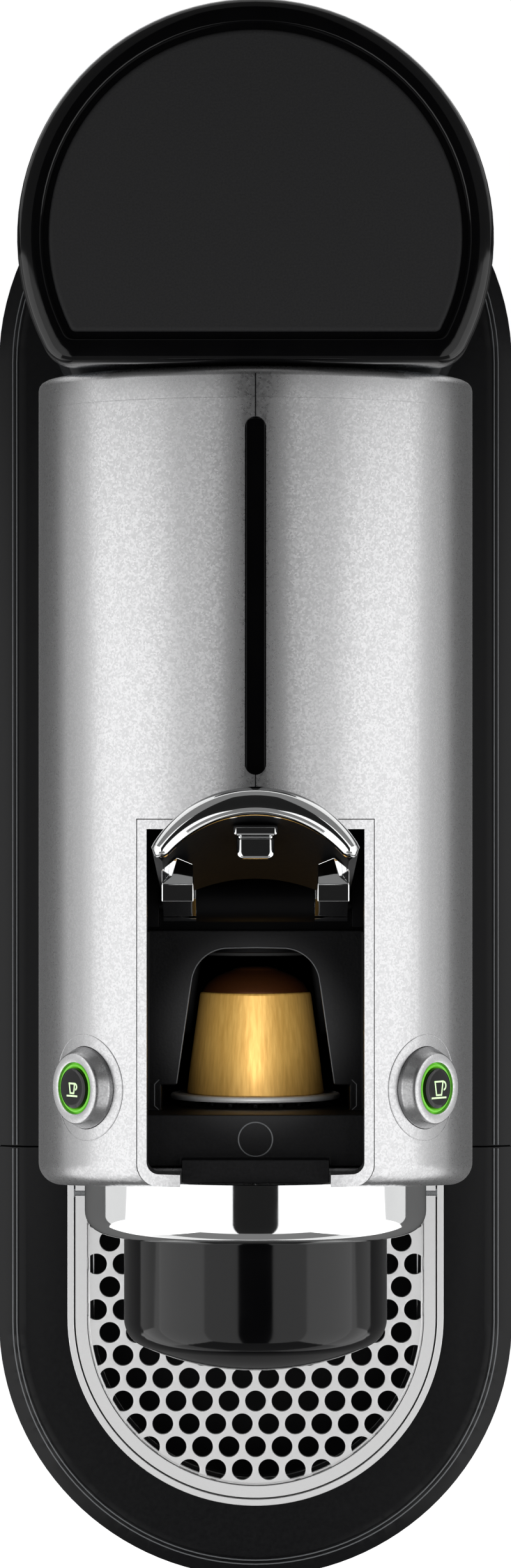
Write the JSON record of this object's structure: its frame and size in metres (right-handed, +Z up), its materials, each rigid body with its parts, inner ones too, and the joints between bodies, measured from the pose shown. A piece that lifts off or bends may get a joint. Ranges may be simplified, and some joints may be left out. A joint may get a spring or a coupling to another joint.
{
  "type": "pod coffee machine",
  "caption": "Slim upright pod coffee machine with an arched silver body, swing lever over the pod bay, lift-off water tank and slide-out drip tray.",
  "frame": {"origin": "on the standing surface under the middle of the base", "axes": "+Z up, +Y towards the water tank at the rear, +X to the right seen from the front"},
  "size_m": [0.13, 0.372, 0.3046],
  "materials": {
    "silver_paint": "metallic silver paint",
    "black_matte": "fine grain matte black",
    "black_gloss": "gloss black",
    "chrome": "polished chrome",
    "steel": "plain steel",
    "smoke_clear": "smoked clear plastic",
    "rubber": "soft black rubber",
    "gold_foil": "gold lacquered aluminium",
    "green_light": "lit green diffuser",
    "board": "green circuit board",
    "cast": "as cast",
    "hose": "silicone hose"
  },
  "bodies": {
    "housing": {"base_shell": "black_matte", "base_plate": "black_matte", "rubber_feet": "rubber", "base_screws": "steel", "cord_gland": "rubber", "tank_coupling": "black_matte", "right_shell": "silver_paint", "left_shell": "silver_paint", "rear_panel": "silver_paint", "slot_insert": "black_matte", "bay_bezel": "silver_paint", "bay_insert": "black_matte", "brew_frame": "black_matte", "extraction_plate": "steel", "lever_shaft": "steel", "nose_mount": "black_gloss", "chrome_ring": "chrome", "nose_cap": "black_gloss", "coffee_nozzle": "black_gloss", "pump_chassis": "black_matte", "pump": "cast", "pump_mounts": "rubber", "flow_meter": "black_matte", "thermoblock": "cast", "inlet_hose": "hose", "pump_hose": "hose", "boiler_hose": "hose", "brew_hose": "hose", "control_board": "board", "left_button_collar": "silver_paint", "left_light_ring": "green_light", "left_button_switch": "black_matte", "right_button_collar": "silver_paint", "right_light_ring": "green_light", "right_button_switch": "black_matte"},
    "lever": {"lever_arms": "chrome", "lever_cover": "black_gloss", "lever_handle": "chrome", "lever_catch": "chrome"},
    "cage": {"capsule_cage": "black_matte", "cage_seal": "rubber", "piercing_blades": "steel"},
    "pod": {"coffee_pod": "gold_foil"},
    "left_key": {"left_button": "black_gloss"},
    "right_key": {"right_button": "black_gloss"},
    "tank": {"water_tank": "smoke_clear", "tank_valve": "black_matte"},
    "lid": {"tank_lid": "black_gloss"},
    "drip_module": {"drip_housing": "black_matte", "module_feet": "rubber", "drip_bowl": "black_matte", "tray_trim": "chrome", "cup_hinge_pins": "steel", "capsule_container": "black_gloss"},
    "cup_support": {"cup_frame": "chrome", "cup_grid": "chrome"}
  },
  "joints": [
    {"name": "lever_pivot", "type": "hinge", "parent": "housing", "child": "lever", "pos_m": [0, -0.01, 0.252], "axis": [1, 0, 0], "range_deg": [0, 90]},
    {"name": "cage_slide", "type": "slide", "parent": "housing", "child": "cage", "axis": [0, -1, 0], "range_m": [0, 0.03]},
    {"name": "pod_lift", "type": "slide", "parent": "housing", "child": "pod", "axis": [0, 0, 1], "range_m": [0, 0.09]},
    {"name": "left_button_press", "type": "slide", "parent": "housing", "child": "left_key", "axis": [0.766, 0, -0.6428], "range_m": [0, 0.0012], "stiffness_N_per_m": 400},
    {"name": "right_button_press", "type": "slide", "parent": "housing", "child": "right_key", "axis": [-0.766, 0, -0.6428], "range_m": [0, 0.0012], "stiffness_N_per_m": 400},
    {"name": "tank_lift", "type": "slide", "parent": "housing", "child": "tank", "axis": [0, 0, 1], "range_m": [0, 0.24]},
    {"name": "lid_lift", "type": "slide", "parent": "tank", "child": "lid", "axis": [0, 0, 1], "range_m": [0, 0.06]},
    {"name": "drip_module_slide", "type": "slide", "parent": "housing", "child": "drip_module", "axis": [0, -1, 0], "range_m": [0, 0.12]},
    {"name": "cup_support_fold", "type": "hinge", "parent": "drip_module", "child": "cup_support", "pos_m": [0, -0.0886, 0.049], "axis": [-1, 0, 0], "range_deg": [0, 90]}
  ],
  "couplings": [
    {"joint": "cage_slide", "follows": "lever_pivot", "m_per_rad": 0.019099}
  ]
}
